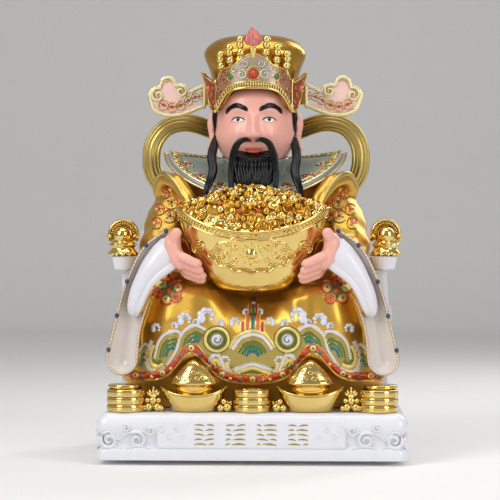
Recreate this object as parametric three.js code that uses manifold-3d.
// A seated deity of good fortune on an armchair throne, holding a boat-shaped gold ingot heaped with treasure.
// The statue is cast resin: a white carved plinth and throne, a satin gold robe, plated gold ornaments,
// and a painted head and hands. Units are millimetres, +Z is up and the figure faces -Y.
// The origin is the middle of the plinth's underside. Left and right are as a viewer in front sees them.
import * as THREE from 'three';
import { mergeVertices } from 'three/addons/utils/BufferGeometryUtils.js';
import { LoftGeometry } from 'three/addons/geometries/LoftGeometry.js';
import Module from 'manifold-3d';

const wasm = await Module();
wasm.setup();

// Driving dimensions
const GAP = 0.3;
const PLINTH = { width: 340, depth: 240, height: 51, corner: 12, panelHalf: 103, sidePanelHalf: 62,
  scrolls: [[127, 21, 9.5], [153, 21, 8.5], [111, 30, 6]] };
const SEAT = { half: 128, front: -20, top: 118 };
const THRONE_ARM = { inner: 137, outer: 151, front: -26, top: 205, railTop: 221 };
const THRONE_BACK = { half: 141, front: 92, rear: 112, shoulder: 253, crest: 292 };
const FINIAL = { x: 150, y: -32, base: 221, radius: 18, pearl: 10.5, height: 45.5 };
const HEM = { height: 81, rise: 37, peakX: 66, spread: 22, step: 6 };
const BOWL = { y: -74, bottom: 182, rimFront: 250, rimTip: 276, halfWidth: 84, halfDepth: 42, heapTop: 302 };
const NECK_CUT = 300;
const HAT = { browFront: 411.5, browSide: 386, browHalf: 44, top: 477 };
const COIN = { radius: 21, thickness: 7.7, bevel: 1.2, count: 3 };
const ROW_Y = -92;

// Colours of the finishes
const WHITE_RESIN = { color: 0xe9e9ee, roughness: 0.35, metalness: 0 };
const SATIN_GOLD = { color: 0xd79a2b, roughness: 0.32, metalness: 0.85 };
const SCARF_GOLD = { color: 0xb59446, roughness: 0.36, metalness: 0.8 };
const PLATED_GOLD = { color: 0xf2cf6b, roughness: 0.12, metalness: 1 };
const CROWN_COPPER = { color: 0xa8775c, roughness: 0.35, metalness: 0.7 };
const SKIN = { color: 0xf0b2a0, roughness: 0.4, metalness: 0 };
const IVORY = { color: 0xf0ecdc, roughness: 0.4, metalness: 0 };
const ROSE_CRYSTAL = { color: 0xd98a8f, roughness: 0.1, metalness: 0 };

// Small helpers

const lerp = (a, b, t) => a + (b - a) * t;
const bump = (x, width) => Math.exp(-((x / width) ** 2));
const point = (x, y, z) => new THREE.Vector3(x, y, z);

// Smooth values between the rows of a table, whose first column is the place of each row.
function along(table, place) {
  const last = table.length - 1;
  if (place <= table[0][0]) return table[0].slice(1);
  if (place >= table[last][0]) return table[last].slice(1);
  const i = table.findIndex((row) => row[0] > place) - 1;
  const [a, b] = [table[i], table[i + 1]];
  const before = table[Math.max(i - 1, 0)];
  const after = table[Math.min(i + 2, last)];
  const span = b[0] - a[0];
  const t = (place - a[0]) / span;
  return a.slice(1).map((value, k) => {
    const startSlope = ((b[k + 1] - before[k + 1]) / (b[0] - before[0])) * span;
    const endSlope = ((after[k + 1] - value) / (after[0] - a[0])) * span;
    return (2 * t ** 3 - 3 * t ** 2 + 1) * value + (t ** 3 - 2 * t ** 2 + t) * startSlope
      + (3 * t ** 2 - 2 * t ** 3) * b[k + 1] + (t ** 3 - t ** 2) * endSlope;
  });
}

// A closed three.js geometry as a solid that can be joined and cut.
function solid(geometry) {
  const bare = new THREE.BufferGeometry();
  bare.setAttribute('position', geometry.attributes.position);
  bare.setIndex(geometry.index);
  const merged = mergeVertices(bare, 1e-4);
  const triangles = [];
  const index = merged.index.array;
  for (let i = 0; i < index.length; i += 3) {
    const [a, b, c] = [index[i], index[i + 1], index[i + 2]];
    if (a !== b && b !== c && c !== a) triangles.push(a, b, c);
  }
  const build = (order) => new wasm.Manifold(new wasm.Mesh({
    numProp: 3,
    vertProperties: merged.attributes.position.array,
    triVerts: new Uint32Array(order),
  }));
  const made = build(triangles);
  return made.volume() < 0 ? build(triangles.reverse()) : made;
}

const join = (...solids) => solids.reduce((a, b) => a.add(b));
// The main body of a cut solid, without the slivers that a cut can leave beside it.
const largest = (made) => made.decompose().sort((a, b) => b.volume() - a.volume())[0];
const ring = (sections) => solid(new LoftGeometry([...sections, sections[0]]));

// A skin over a row of outlines, each turned the way that makes the skin face outwards.
function loft(sections) {
  const middle = (outline) => outline.reduce((sum, p) => sum.add(p), point(0, 0, 0)).divideScalar(outline.length);
  const start = middle(sections[0]);
  const normal = sections[0].reduce((sum, p, i, all) => {
    const next = all[(i + 1) % all.length];
    return sum.add(p.clone().sub(start).cross(next.clone().sub(start)));
  }, point(0, 0, 0));
  const ahead = middle(sections[1]).sub(start);
  const turned = normal.dot(ahead) < 0 ? sections.map((outline) => [...outline].reverse()) : sections;
  return solid(new LoftGeometry(turned, { capStart: true, capEnd: true }));
}

// A box between two corners.
function block(low, high) {
  const size = high.map((value, i) => value - low[i]);
  const middle = high.map((value, i) => (value + low[i]) / 2);
  return solid(new THREE.BoxGeometry(...size).translate(...middle));
}

// A unit ball with its poles on Z, whose points are each given a place.
function ball(across, rows, place) {
  const geometry = new THREE.SphereGeometry(1, across, rows).rotateX(Math.PI / 2);
  const spots = geometry.attributes.position;
  for (let i = 0; i < spots.count; i += 1) {
    // The seam's last column repeats the first, and each pole is one point.
    const row = Math.floor(i / (across + 1));
    const column = row === 0 || row === rows ? 0 : i % (across + 1) % across;
    if (row * (across + 1) + column < i) {
      const first = row * (across + 1) + column;
      spots.setXYZ(i, spots.getX(first), spots.getY(first), spots.getZ(first));
    } else {
      const p = place(point(spots.getX(i), spots.getY(i), spots.getZ(i)));
      spots.setXYZ(i, p.x, p.y, p.z);
    }
  }
  return solid(geometry);
}

// A plain ellipsoid.
function ellipsoid(centre, radii, across = 12, rows = 8) {
  return ball(across, rows, (p) => point(
    centre[0] + p.x * radii[0], centre[1] + p.y * radii[1], centre[2] + p.z * radii[2]));
}

// A round limb with rounded ends. Each joint is [x, y, z, radius].
function limb(joints, sides, steps, flat = 1) {
  const spine = new THREE.CatmullRomCurve3(joints.map((j) => point(j[0], j[1], j[2])));
  const radii = joints.map((j, i) => [i / (joints.length - 1), j[3]]);
  const frames = spine.computeFrenetFrames(steps);
  const sections = [];
  const addRing = (k, shrink, push) => {
    const t = k / steps;
    const middle = spine.getPoint(t).addScaledVector(spine.getTangent(t), push);
    const radius = along(radii, t)[0] * shrink;
    sections.push(Array.from({ length: sides }, (_, j) => {
      const angle = (j / sides) * Math.PI * 2;
      return middle.clone()
        .addScaledVector(frames.normals[k], Math.cos(angle) * radius)
        .addScaledVector(frames.binormals[k], Math.sin(angle) * radius * flat);
    }));
  };
  addRing(0, 0.55, -0.8 * joints[0][3]);
  for (let k = 0; k <= steps; k += 1) addRing(k, 1, 0);
  addRing(steps, 0.55, 0.8 * joints[joints.length - 1][3]);
  return loft(sections);
}

// A closed outline around a bent spine: out along one side, round the tip and back along the other.
function leafOutline(spine, steps) {
  const curve = new THREE.CatmullRomCurve3(spine.map(([x, z]) => point(x, 0, z)));
  const widths = spine.map((row, i) => [i / (spine.length - 1), row[2]]);
  const side = (sign) => Array.from({ length: steps + 1 }, (_, k) => {
    const t = k / steps;
    const heading = curve.getTangent(t);
    const width = along(widths, t)[0] * sign;
    return curve.getPoint(t).add(point(heading.z * width, 0, -heading.x * width));
  });
  const end = curve.getPoint(1).addScaledVector(curve.getTangent(1), spine[spine.length - 1][2]);
  return [...side(1), end, ...side(-1).reverse()];
}

const MESHES = new THREE.Group();

function keep(name, made, finish) {
  const mesh = made.getMesh();
  const geometry = new THREE.BufferGeometry();
  geometry.setAttribute('position', new THREE.BufferAttribute(new Float32Array(mesh.vertProperties), 3));
  geometry.setIndex(new THREE.BufferAttribute(new Uint32Array(mesh.triVerts), 1));
  geometry.computeVertexNormals();
  const piece = new THREE.Mesh(geometry, new THREE.MeshStandardMaterial(finish));
  piece.name = name;
  MESHES.add(piece);
}

// Plinth: a moulded slab with a waist, flat middle panels and cloud scrolls at the corners

function roundedRectangle(halfX, halfY, radius, z) {
  const shape = new THREE.Shape();
  const corners = [[1, -1, -90], [1, 1, 0], [-1, 1, 90], [-1, -1, 180]];
  for (const [sx, sy, from] of corners) {
    const start = THREE.MathUtils.degToRad(from);
    shape.absarc(sx * (halfX - radius), sy * (halfY - radius), radius, start, start + Math.PI / 2);
  }
  return shape.extractPoints(2).shape.map((p) => point(p.x, p.y, z));
}

// A short drum that stands on edge, as the body of a carved cloud curl.
function cloudScroll(radius) {
  return solid(new THREE.CylinderGeometry(radius, radius, 9, 8));
}

function plinth() {
  const { width, depth, height, corner } = PLINTH;
  // Each row is how far the face stands back, and its height.
  const profile = [[0, 0], [0, 10], [6, 17], [3, 26], [0, 37], [2, 45], [9, height]];
  const slab = loft(profile.map(([inset, z]) => roundedRectangle(
    width / 2 - inset, depth / 2 - inset, corner - inset / 2, z)));
  const panels = join(
    block([-PLINTH.panelHalf, -depth / 2, 3], [PLINTH.panelHalf, depth / 2, 46]),
    block([-width / 2, -PLINTH.sidePanelHalf, 3], [width / 2, PLINTH.sidePanelHalf, 46]));
  let made = join(slab, panels);
  for (const side of [-1, 1]) {
    for (const [x, z, radius] of PLINTH.scrolls) {
      made = made.add(cloudScroll(radius).translate([side * x, 5 - depth / 2, z]));
    }
    const [[x, z, radius]] = PLINTH.scrolls;
    made = made.add(cloudScroll(radius).translate([side * x, depth / 2 - 5, z]));
    for (const end of [-1, 1]) {
      const turned = cloudScroll(radius).rotate([0, 0, 90]);
      made = made.add(turned.translate([side * (width / 2 - 5), end * 84, z]));
    }
  }
  return made;
}

// Throne: a seat, a crested back and two arms, each with a stepped post under its finial

function throneBack() {
  const { half, front, rear, shoulder, crest } = THRONE_BACK;
  const outline = new THREE.Shape();
  outline.moveTo(-half, 51 + GAP);
  outline.lineTo(half, 51 + GAP);
  outline.lineTo(half, shoulder - 4);
  outline.quadraticCurveTo(half, shoulder + 4, half - 14, shoulder + 4);
  outline.quadraticCurveTo(half - 30, shoulder + 4, half - 42, shoulder + 20);
  outline.quadraticCurveTo(half - 70, crest, 0, crest);
  outline.quadraticCurveTo(-half + 70, crest, -half + 42, shoulder + 20);
  outline.quadraticCurveTo(-half + 30, shoulder + 4, -half + 14, shoulder + 4);
  outline.quadraticCurveTo(-half, shoulder + 4, -half, shoulder - 4);
  const slab = new THREE.ExtrudeGeometry(outline, { depth: rear - front, bevelEnabled: false, curveSegments: 3 });
  const plain = solid(slab.rotateX(Math.PI / 2).translate(0, rear, 0));
  const panel = block([-92, rear - 1, 92], [92, rear + 3.5, 236]);
  const roundel = solid(new THREE.CylinderGeometry(46, 50, 4, 14).translate(0, rear + 5, 165));
  return join(plain, panel, roundel);
}

function throne() {
  const { inner, outer, front, top, railTop } = THRONE_ARM;
  const floor = PLINTH.height + GAP;
  let made = join(
    throneBack(),
    block([-SEAT.half - 12, SEAT.front, floor], [SEAT.half + 12, THRONE_BACK.front + 1, SEAT.top]));
  for (const side of [-1, 1]) {
    const span = (a, b) => [Math.min(side * a, side * b), Math.max(side * a, side * b)];
    const part = (x0, x1, y0, y1, z0, z1) => {
      const [lowX, highX] = span(x0, x1);
      return block([lowX, y0, z0], [highX, y1, z1]);
    };
    made = join(made,
      part(inner, outer, front, THRONE_BACK.front + 1, floor, top),
      part(inner - 1, outer - 4, front - 8, front + 16, 158, top + 1),
      part(inner - 1, outer + 5, front - 12, front + 18, 124, 164),
      part(inner, outer + 2, front + 7, front + 24, 96, 128),
      part(inner + 2, outer + 2, front + 30, THRONE_BACK.front - 12, 66, 190),
      limb([[side * 146, -34, 213, 8], [side * 144, 40, 214, 8], [side * 141, 98, 212, 8]], 7, 2),
      solid(new THREE.CylinderGeometry(15.5, 12.5, 14, 12).rotateX(Math.PI / 2)
        .translate(side * (FINIAL.x - 3), FINIAL.y, railTop - 7)));
  }
  return made;
}

// Finial: a petal skirt, a scrolled jaw, a pearl and an arched hood with a toothed rim behind it

function finial(side) {
  const { x, y, base, radius, pearl } = FINIAL;
  const petals = 5;
  const skirtRing = (r, z, wave) => Array.from({ length: petals * 2 }, (_, j) => {
    const angle = (j / (petals * 2)) * Math.PI * 2;
    const reach = r * (1 + wave * (j % 2 ? -1 : 1));
    return point(x * side + Math.cos(angle) * reach, y + Math.sin(angle) * reach, z);
  });
  const skirt = loft([
    skirtRing(11, base + GAP, 0), skirtRing(17, base + 1, 0.06), skirtRing(15.5, base + 6, 0.05),
    skirtRing(12, base + 9, 0), skirtRing(13.5, base + 14, 0.03), skirtRing(9, base + 17, 0)]);
  const centre = [side * x, y + 3, base + 27];
  const hood = ellipsoid(centre, [radius, radius - 1, radius], 10, 6)
    .subtract(ellipsoid([centre[0], centre[1] - 8, centre[2] - 1], [radius - 3.5, radius, radius - 3.5], 8, 4))
    .intersect(block([centre[0] - 30, y - 6, base + 12], [centre[0] + 30, y + 30, base + 60]));
  return join(skirt, ellipsoid([side * x, y - 3, base + 24.5], [pearl, pearl, pearl], 8, 5), hood);
}

// Robe: the skirt over the knees, the torso, the arms and the wide hanging sleeves

// Each row is height, centre y, half width, depth to the front, depth to the back and dip between the legs.
const SKIRT = [
  [51, -46, 134, 20, 24, 0],
  [66, -46, 144, 26, 24, 0],
  [81, -46, 149, 31, 24, 0],
  [95, -46, 146, 38, 24, 2],
  [108, -46, 139, 45, 24, 6],
  [SEAT.top + GAP, -46, 131, 48, 24, 10],
  [SEAT.top + 2 * GAP, -46, 131, 48, 128, 11],
  [138, -46, 129, 53, 130, 21],
  [158, -46, 126, 54, 130, 31],
  [178, -46, 121, 52, 127, 41],
  [193, -46, 112, 46, 120, 47],
  [205, -46, 99, 35, 110, 50],
  [213, -46, 80, 18, 98, 46],
];
const SKIRT_ROWS = [51.3, 81, 81.6, 98, SEAT.top + GAP, SEAT.top + 2 * GAP, 150, 185, 203, 213];
const HEM_ROW = 1;
const LAP_DROP = 32;

function skirtPoint(angle, z, inset) {
  const [middle, halfWidth, front, back, valley] = along(SKIRT, z);
  const [c, s] = [Math.cos(angle), Math.sin(angle)];
  const power = 2 / 2.5;
  const x = Math.sign(c) * Math.abs(c) ** power * (halfWidth - inset);
  const reach = (s < 0 ? front : back) - inset;
  let y = middle + Math.sign(s) * Math.abs(s) ** power * reach;
  if (s < 0) y += valley * bump(x, 33) * Math.abs(s) ** power;
  const folds = z > 84 && z < 200 ? 1.6 * Math.sin(Math.abs(x) / 7 + z / 40) * bump(Math.abs(x) - 116, 22) : 0;
  return point(x, y + (s < 0 ? folds : 0), z);
}

function skirt() {
  const columns = 40;
  const sections = SKIRT_ROWS.map((z, row) => Array.from({ length: columns }, (_, j) => {
    const angle = (j / columns) * Math.PI * 2;
    const flat = skirtPoint(angle, z, 0);
    const rising = Math.max(0, 1 - Math.abs(z - HEM.height) / (z < HEM.height ? 30 : 46));
    const lift = Math.sin(angle) < -0.05 ? HEM.rise * bump(Math.abs(flat.x) - HEM.peakX, HEM.spread) * rising : 0;
    const made = skirtPoint(angle, z + lift, row <= HEM_ROW ? HEM.step : 0);
    made.z -= LAP_DROP * bump(made.x, 62) * Math.max(0, (z - 150) / 63);
    return made;
  }));
  return loft(sections);
}

function torso(grow = 0) {
  return ball(16, 8, (p) => {
    const shoulders = 1 + 0.12 * p.z;
    const square = (v) => Math.sign(v) * Math.abs(v) ** 0.82;
    return point(square(p.x) * (96 + grow) * shoulders, 26 + square(p.y) * (58 + grow),
      246 + square(p.z) * (72 + grow));
  });
}

const ARM = [[74, 26, 292, 34], [96, 12, 258, 34], [103, -18, 224, 31], [95, -54, 216, 27], [84, -78, 226, 20]];
const SLEEVE = [[88, 242, 10], [109, 220, 16], [127, 184, 15], [139, 145, 14], [145, 110, 17]];
const SLEEVE_FRONT = -88;
const SLEEVE_BACK = -46;
const INNER_SLEEVE = [[87, -86, 228, 15], [104, -91, 205, 14], [120, -92, 183, 12], [129, -90, 164, 10]];

function sleeve(side) {
  const outline = leafOutline(SLEEVE, 4);
  const placed = (y, shrink, lift) => outline.map((p) => point(
    side * lerp(115, p.x, shrink), y, lerp(205, p.z, shrink) + lift));
  const hanging = loft([
    placed(SLEEVE_FRONT, 0.97, 0), placed(SLEEVE_FRONT + 3, 1, 0), placed(-66, 1, 0),
    placed(-54, 0.9, 4), placed(SLEEVE_BACK, 0.62, 8)]);
  const mouth = loft([placed(SLEEVE_FRONT - 2, 0.93, 0), placed(SLEEVE_FRONT + 12, 0.82, 2)]);
  const mirrored = (joints) => joints.map(([x, y, z, r]) => [side * x, y, z, r]);
  return join(hanging.subtract(mouth), limb(mirrored(INNER_SLEEVE), 7, 3), arm(side));
}

function arm(side, grow = 0) {
  return limb(ARM.map(([x, y, z, r]) => [side * x, y, z, r + grow]), 8, 4);
}

// The stiff flared collar: a sheet that rings the neck, low in front and high at the shoulders
const COLLAR = { thickness: 3.6, sideX: 97, middleY: 14, frontY: 58, backY: 58, front: 287, side: 340 };

function collar() {
  const steps = 24;
  return ring(Array.from({ length: steps }, (_, k) => {
    const angle = (k / steps) * Math.PI * 2;
    const [c, s] = [Math.cos(angle), Math.sin(angle)];
    const tip = bump(s, 0.42);
    const height = COLLAR.front + (COLLAR.side - COLLAR.front) * Math.min(1, (1 + s) ** 0.75);
    const outer = point(c * (COLLAR.sideX - 16 * (1 - tip) * (s > 0 ? 1 : 0)),
      COLLAR.middleY + s * COLLAR.frontY, height - (s > 0 ? 6 * s : 0));
    const inner = point(c * 40, 6 + s * 36, lerp(304, 330, (1 + s) / 2));
    const drop = point(0, 0, -COLLAR.thickness);
    return [inner, outer, outer.clone().add(drop), inner.clone().add(drop).add(point(0, 0, -6))];
  }));
}

// The rolled scarf that lies over each shoulder
const SHOULDER_ROLL = [[114, 20, 297, 9], [100, -12, 313, 10], [80, -33, 298, 10], [66, -44, 270, 9], [60, -48, 250, 8]];

function shoulderRoll(side, grow = 0) {
  return limb(SHOULDER_ROLL.map(([x, y, z, r]) => [side * x, y, z, r + grow]), 7, 5);
}

// The boat-shaped ingot: an oval bowl whose rim climbs to a tip at each end
const BOWL_PROFILE = [[0, 0.2, 0.2], [0.03, 0.4, 0.4], [0.1, 0.52, 0.56], [0.25, 0.66, 0.7],
  [0.5, 0.83, 0.85], [0.8, 0.95, 0.95], [1, 1, 1]];

function bowlPoint(angle, t, grow = 0) {
  const [wide, deep] = along(BOWL_PROFILE, Math.max(0, t));
  const [c, s] = [Math.cos(angle), Math.sin(angle)];
  const rim = BOWL.rimFront + (BOWL.rimTip - BOWL.rimFront) * Math.abs(c) ** 2.2;
  return point(c * (wide * BOWL.halfWidth + grow), BOWL.y + s * (deep * BOWL.halfDepth + grow),
    lerp(BOWL.bottom - grow, rim, t));
}

function bowl(grow = 0) {
  const columns = 26;
  const sections = [0, 0.1, 0.3, 0.6, 0.9, 0.92, 1].map((t, row) => Array.from(
    { length: columns }, (_, j) => bowlPoint((j / columns) * Math.PI * 2, t, grow + (row > 4 ? 1.6 : 0))));
  return loft(sections);
}

function heapDome(grow = 0) {
  return ball(16, 6, (p) => {
    const rim = BOWL.rimFront - 6 + (BOWL.rimTip - BOWL.rimFront) * Math.abs(p.x) ** 2.2;
    const rise = p.z > 0 ? (BOWL.heapTop - 6 + grow - rim) * p.z : 20 * p.z;
    return point(p.x * (BOWL.halfWidth - 5 + grow), BOWL.y + p.y * (BOWL.halfDepth - 4 + grow), rim + rise);
  });
}

function treasureHeap() {
  // Rings of round treasure climb the dome, and the top one is a small ingot.
  const rings = [[0.8, 6, 7], [0.45, 3, 9]];
  const balls = rings.flatMap(([reach, count, size], r) => Array.from({ length: count }, (_, j) => {
    const angle = Math.PI * (1 + (j + 0.5) / count);
    const lift = Math.sqrt(1 - reach * reach);
    const rim = BOWL.rimFront - 4 + (BOWL.rimTip - BOWL.rimFront) * Math.abs(reach * Math.cos(angle)) ** 2.2;
    return ellipsoid([Math.cos(angle) * reach * (BOWL.halfWidth - 8),
      BOWL.y + Math.sin(angle) * reach * (BOWL.halfDepth - 6), lerp(rim, BOWL.heapTop - 8, lift)],
    [size, size, size * 0.8], 6, 4);
  }));
  return join(heapDome(), ...balls, ellipsoid([0, BOWL.y, BOWL.heapTop - 6], [11, 7, 6], 8, 4));
}

function robe() {
  const body = join(skirt(), torso(), collar(), ...[-1, 1].flatMap((side) => [sleeve(side), shoulderRoll(side)]));
  const neckWell = solid(new THREE.CylinderGeometry(37, 35, 60, 14).rotateX(Math.PI / 2)
    .translate(0, 4, NECK_CUT + 30 - GAP));
  const room = [bowl(0.8), bowl(0.8).translate([0, 0, 1.2]), heapDome(0.8), palm(-1, 1.6), palm(1, 1.6),
    ellipsoid([-67, -84, 206], [31, 25, 16], 9, 6), ellipsoid([67, -84, 206], [31, 25, 16], 9, 6)];
  return largest(room.reduce((rest, cutter) => rest.subtract(cutter), body.subtract(neckWell)));
}

// Hands: a palm under each end of the ingot, four fingers round its belly and a thumb at its side

function palm(side, grow = 0) {
  return limb([[91, -82, 240, 12], [86, -85, 226, 15], [76, -86, 210, 13]].map(
    ([x, y, z, r]) => [side * x, y, z, r + grow]), 8, 2);
}

function hand(side) {
  const part = (joints, sides, steps) => limb(joints.map(([x, y, z, r]) => [side * x, y, z, r]), sides, steps);
  const fingers = [0, 1, 2, 3].map((k) => part([
    [76, -97 + 9 * k, 214 - 2 * k, 6.6], [63, -102 + 9 * k, 202 - k, 6.2], [50, -101 + 9 * k, 198, 5]], 5, 1));
  return join(palm(side), part([[85, -95, 236, 6.5], [80, -104, 244, 6], [76, -108, 250, 5]], 5, 1), ...fingers);
}

// Head: a full face with long-lobed ears, side locks, moustache and beard

function skull() {
  return ball(20, 13, (p) => {
    const jaw = 1 + 0.06 * bump(p.z + 0.35, 0.3) - 0.1 * Math.max(0, -p.z - 0.6);
    const x = p.x * 44.5 * jaw;
    const z = 368 + p.z * (p.z < 0 ? 52 : 62);
    let y = 2 + p.y * 50;
    if (p.y < 0) {
      const nose = 11 * bump(x, 7) * bump(z - 357, 9) + 5 * bump(x, 5) * bump(z - 370, 12);
      const brow = 2 * bump(Math.abs(x) - 17, 12) * bump(z - 386, 6);
      const socket = 4 * bump(Math.abs(x) - 17, 10) * bump(z - 375, 6);
      const chin = 4 * bump(x, 14) * bump(z - 328, 9);
      y -= nose + brow - socket + chin;
    }
    return point(x, y, z);
  });
}

const EAR = [[43, 6, 382, 5], [46, 8, 374, 6], [46, 7, 358, 5.5], [47, 3, 347, 6]];
const SIDE_LOCK = [[46, -10, 356, 5], [50, -24, 338, 6], [47, -40, 321, 5.6], [51, -50, 306, 5], [55, -54, 297, 3.4]];
const MOUSTACHE = [[3, -50, 352, 3], [13, -51, 352, 4], [21, -49, 340, 4.6], [24, -50, 318, 5], [22, -53, 302, 4]];

function head() {
  const beard = loft([[342, 16, 10, -40], [330, 25, 13, -37], [316, 26, 13, -39], [303, 23, 9, -46],
    [295, 15, 6, -51]].map(([z, halfX, halfY, y]) => Array.from({ length: 14 }, (_, j) => {
    const angle = (j / 14) * Math.PI * 2;
    const lock = 1 + 0.06 * (j % 2 ? -1 : 1);
    return point(Math.cos(angle) * halfX * lock, y + Math.sin(angle) * halfY * lock, z);
  })));
  const neck = solid(new THREE.CylinderGeometry(33, 33, 48, 14).rotateX(Math.PI / 2)
    .translate(0, 4, NECK_CUT + 24));
  const paired = [-1, 1].flatMap((side) => [EAR, SIDE_LOCK, MOUSTACHE].map((joints) => limb(
    joints.map(([x, y, z, r]) => [side * x, y, z, r]), 5, 4)));
  return join(skull(), neck, beard, ...paired).subtract(browCutter(0));
}

// Everything above the hat's brow line, which arches over the forehead. It is the same from front to back.
function browCutter(lift) {
  const line = new THREE.Shape();
  const { browFront, browSide, browHalf } = HAT;
  line.moveTo(-90, browSide + lift);
  line.lineTo(-browHalf, browSide + lift);
  line.bezierCurveTo(-browHalf + 6, browFront - 4 + lift, -16, browFront + lift, 0, browFront + lift);
  line.bezierCurveTo(16, browFront + lift, browHalf - 6, browFront - 4 + lift, browHalf, browSide + lift);
  line.lineTo(90, browSide + lift);
  line.lineTo(90, 520);
  line.lineTo(-90, 520);
  const slab = new THREE.ExtrudeGeometry(line, { depth: 260, bevelEnabled: false, curveSegments: 5 });
  return solid(slab.rotateX(Math.PI / 2).translate(0, 130, 0));
}

// Hat: a gold body that widens upwards under a domed top
// Each row is height, half width and half depth.
const HAT_PROFILE = [[380, 48, 50], [425, 49.5, 51], [441, 55, 50], [452, 58.5, 48],
  [461, 56, 43], [470, 47, 33], [HAT.top, 16, 10]];

function hatBody() {
  const columns = 22;
  return loft(HAT_PROFILE.map(([z, halfX, halfY]) => Array.from({ length: columns }, (_, j) => {
    const angle = (j / columns) * Math.PI * 2;
    return point(Math.cos(angle) * halfX, 2 + Math.sin(angle) * halfY, z);
  })));
}

const SOCKET = { inner: 40, outer: 57.6, y: 10, low: 397, high: 420 };

function hat() {
  const socket = block([SOCKET.inner, SOCKET.y - 4, SOCKET.low], [SOCKET.outer, SOCKET.y + 4, SOCKET.high]);
  const sockets = [socket, socket.mirror([1, 0, 0])];
  return join(hatBody(), ...sockets).intersect(browCutter(GAP));
}

// Crown: five plates round the front of the hat, with sprigs of beads above

// Each row is the bearing from the front in degrees, and the band's lower and upper edge there.
const CROWN_EDGE = [[0, 411.2, 449], [12, 411, 445.5], [23, 409.5, 437], [33, 405.5, 434], [43, 395, 430],
  [49, 387.5, 420], [55, 387.5, 419], [64, 394, 424], [76, 414, 431]];

function crownBand() {
  const half = 76;
  const steps = 28;
  return loft(Array.from({ length: steps + 1 }, (_, k) => {
    const bearing = lerp(-half, half, k / steps);
    const angle = THREE.MathUtils.degToRad(bearing);
    const [low, high] = along(CROWN_EDGE, Math.abs(bearing));
    const flare = 6 * Math.max(0, Math.abs(bearing) - 50) / 26;
    const ringAt = (radius, z) => point(Math.sin(angle) * (radius - 2), 2 - Math.cos(angle) * radius, z);
    return [ringAt(52.8, low), ringAt(57, low), ringAt(57 + flare, high), ringAt(53.2 + flare * 0.6, high)];
  }));
}

// Each sprig is x, height of its top bead, spacing and how far its lowest bead hangs below.
const SPRIGS = [[13, 465.6, 5.5, 14], [25, 458, 5.6, 14.5], [36, 449, 5, 12.5]];

function sprig(x, top, spacing, fall) {
  const sides = 5;
  const y = 2 - Math.sqrt(57.5 ** 2 - x * x);
  const profile = [[424, 2.6], [top - fall - 4, 1.6], [top - fall, 4.3], [top - fall + 4, 1.6],
    [top - spacing - 3, 2.4], [top - spacing, 4.3], [top - spacing / 2, 3], [top, 4.3], [top + 4, 1]];
  return loft(profile.map(([z, radius]) => Array.from({ length: sides }, (_, j) => {
    const angle = (j / sides) * Math.PI * 2;
    return point(x + Math.cos(angle) * radius, y + Math.sin(angle) * radius, z);
  })));
}

function crown() {
  const sprigs = [-1, 1].flatMap((side) => SPRIGS.map(([x, ...rest]) => sprig(side * x, ...rest)));
  const gems = [[0, 8, 427], [27, 4, 424], [-27, 4, 424]].map(([x, radius, z]) => ellipsoid(
    [x, 2 - Math.sqrt(56 ** 2 - x * x), z], [radius, 5, radius], 9, 4));
  const flameSeat = solid(new THREE.CylinderGeometry(4, 6, 26, 7).rotateX(Math.PI / 2).translate(0, -56, 444));
  return join(crownBand(), ...sprigs, ...gems, flameSeat);
}

function flame() {
  const foot = 457 + GAP;
  return ball(8, 6, (p) => {
    const t = (p.z + 1) / 2;
    const radius = 8.5 * Math.sin(Math.PI * t ** 0.7) ** 0.75 / Math.max(0.2, Math.hypot(p.x, p.y));
    const spread = Math.hypot(p.x, p.y) < 1e-6 ? 0 : radius;
    return point(p.x * spread, -56 + p.y * spread * 0.8, foot + t * (480 - foot));
  });
}

// Hat wings: a straight shank that ends in a three-lobed cloud with two curls

const WING_EDGE = [[58, 420.5], [67, 417], [75, 413.5], [79, 418.5], [86, 421.8], [92, 421], [96, 428], [102, 430.5],
  [109, 427], [112, 419], [119, 417], [123.5, 410], [123, 402], [118, 391], [104, 384.8], [89, 384.8],
  [76, 388.5], [58, 396.5]];
const WING_CURLS = [[86.4, 413.8, 7], [113.2, 409.3, 8]];

function wing(side) {
  const outline = new THREE.Shape(WING_EDGE.map(([x, z]) => new THREE.Vector2(x, z)));
  const slab = new THREE.ExtrudeGeometry(outline, {
    depth: 3.4, bevelEnabled: true, bevelThickness: 0.8, bevelSize: 0.8, bevelOffset: -0.8, bevelSegments: 1 });
  const curls = WING_CURLS.map(([x, z, radius]) => solid(
    new THREE.CylinderGeometry(radius, radius, 8, 9).rotateX(Math.PI / 2).translate(x, z, 1.7)));
  const flat = join(solid(slab), ...curls).rotate([90, 0, 0]).translate([0, SOCKET.y + 1.7, 0]);
  return side > 0 ? flat : flat.mirror([1, 0, 0]);
}

// Scarf: one broad ridged band that runs behind the head and loops down to each shoulder
const SCARF = [[0, 66, 356], [-30, 62, 362], [-52, 54, 371], [-80, 44, 379], [-104, 38, 374], [-119, 34, 357],
  [-123, 33, 338], [-120, 34, 318], [-108, 38, 301], [-92, 44, 292]];

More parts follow.
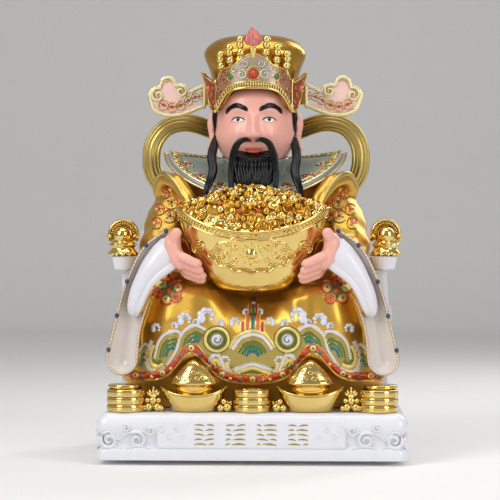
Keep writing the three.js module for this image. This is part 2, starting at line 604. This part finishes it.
function scarf() {
  const route = [...SCARF.slice(1).reverse().map(([x, y, z]) => point(-x, y, z)),
    ...SCARF.map(([x, y, z]) => point(x, y, z))];
  const spine = new THREE.CatmullRomCurve3(route);
  const steps = 26;
  // Across the band in its own plane, and its thickness there: three ridges on the front.
  const section = [[-10, -2], [-8, -6], [-4, -3.5], [-1, -6.5], [3, -4], [7, -6.5], [10, -3], [10, 4], [-10, 4]];
  const made = loft(Array.from({ length: steps + 1 }, (_, k) => {
    const middle = spine.getPointAt(k / steps);
    const heading = spine.getTangentAt(k / steps);
    const outward = point(heading.z, 0, -heading.x).normalize();
    const facing = point(0, 1, 0);
    return section.map(([across, deep]) => middle.clone()
      .addScaledVector(outward, across).addScaledVector(facing, deep));
  }));
  const bed = join(torso(0.6), ...[-1, 1].flatMap((side) => [arm(side, 0.6), shoulderRoll(side, 0.6)]));
  return made.subtract(bed);
}

// Treasure along the front of the plinth: coins, boat-shaped ingots with domed tops, and bead clusters

function coinStack(x, y, coins, radius) {
  const profile = [new THREE.Vector2(0, 0)];
  for (let k = 0; k < coins; k += 1) {
    const foot = k * COIN.thickness;
    profile.push(new THREE.Vector2(radius - COIN.bevel, foot), new THREE.Vector2(radius, foot + COIN.bevel),
      new THREE.Vector2(radius, foot + COIN.thickness - COIN.bevel));
  }
  const top = coins * COIN.thickness;
  profile.push(new THREE.Vector2(radius - COIN.bevel, top), new THREE.Vector2(radius - 3.4, top),
    new THREE.Vector2(radius - 4, top - 1), new THREE.Vector2(0, top - 1));
  return solid(new THREE.LatheGeometry(profile, 13).rotateX(Math.PI / 2)
    .translate(x, y, PLINTH.height + GAP));
}

function smallIngot(x) {
  const floor = PLINTH.height + GAP;
  const columns = 16;
  const boat = loft([[0, 0.62, 0.7, 0], [0.5, 0.8, 0.9, 0.3],
    [1, 1, 1, 1], [1.06, 0.9, 0.85, 1]].map(([t, wide, deep, curl]) => Array.from(
    { length: columns }, (_, j) => {
      const angle = (j / columns) * Math.PI * 2;
      const [c, s] = [Math.cos(angle), Math.sin(angle)];
      return point(x + c * 37 * wide, ROW_Y + s * 21 * deep, floor + t * 18 + curl * 9 * Math.abs(c) ** 2.5);
    })));
  const dome = loft([[14, 25, 14], [28, 25, 14], [38, 20, 11], [46, 12, 7.5], [52, 5, 4], [57, 1.2, 1]].map(([z, halfX, halfY]) => Array.from({ length: 10 }, (_, j) => {
    const angle = (j / 10) * Math.PI * 2;
    return point(x + Math.cos(angle) * halfX, ROW_Y + 2 + Math.sin(angle) * halfY, floor + z);
  })));
  return join(boat, dome);
}

function beadCluster(x) {
  const floor = PLINTH.height + GAP;
  const pouch = ball(8, 6, (p) => point(
    x + p.x * (8 - 2 * p.z), ROW_Y + 4 + p.y * 8, floor + 13.5 + 13.5 * p.z));
  const beads = [[-5, 4.2], [5, 4.2], [0, 11]].map(([dx, dz]) => ellipsoid(
    [x + dx, ROW_Y - 4, floor + dz + 0.4], [4.6, 5, 4.6], 6, 4));
  return join(pouch, ...beads);
}

function beadSprig(x) {
  const floor = PLINTH.height + GAP;
  const leaves = ball(6, 4, (p) => point(x + p.x * 5, ROW_Y + p.y * 5, floor + 6.5 + 6.5 * p.z));
  return join(leaves, ellipsoid([x, ROW_Y - 7, floor + 5], [4.8, 5, 4.8], 8, 6));
}

// The whole statue

keep('plinth', plinth(), WHITE_RESIN);
keep('throne', throne(), WHITE_RESIN);
keep('finial_left', finial(-1), PLATED_GOLD);
keep('finial_right', finial(1), PLATED_GOLD);
keep('robe', robe(), SATIN_GOLD);
keep('scarf', scarf(), SCARF_GOLD);
keep('hand_left', hand(-1).subtract(bowl(0.5)), SKIN);
keep('hand_right', hand(1).subtract(bowl(0.5)), SKIN);
keep('treasure_ingot', join(bowl(), treasureHeap()), PLATED_GOLD);
keep('head', head(), SKIN);
keep('hat', hat(), SATIN_GOLD);
keep('crown', crown(), CROWN_COPPER);
keep('flame', flame(), ROSE_CRYSTAL);
keep('hat_wing_left', wing(-1), IVORY);
keep('hat_wing_right', wing(1), IVORY);
keep('coin_stack_left', coinStack(-139, ROW_Y, COIN.count, COIN.radius), PLATED_GOLD);
keep('coin_stack_middle', coinStack(0, ROW_Y, COIN.count, COIN.radius), PLATED_GOLD);
keep('coin_stack_right', coinStack(139, ROW_Y, COIN.count, COIN.radius), PLATED_GOLD);
keep('small_ingot_left', smallIngot(-64), PLATED_GOLD);
keep('small_ingot_right', smallIngot(64), PLATED_GOLD);
keep('bead_cluster_left', beadCluster(-109), PLATED_GOLD);
keep('bead_cluster_right', beadCluster(109), PLATED_GOLD);
keep('bead_sprig_left', beadSprig(-27), PLATED_GOLD);
keep('bead_sprig_right', beadSprig(27), PLATED_GOLD);


export default MESHES;
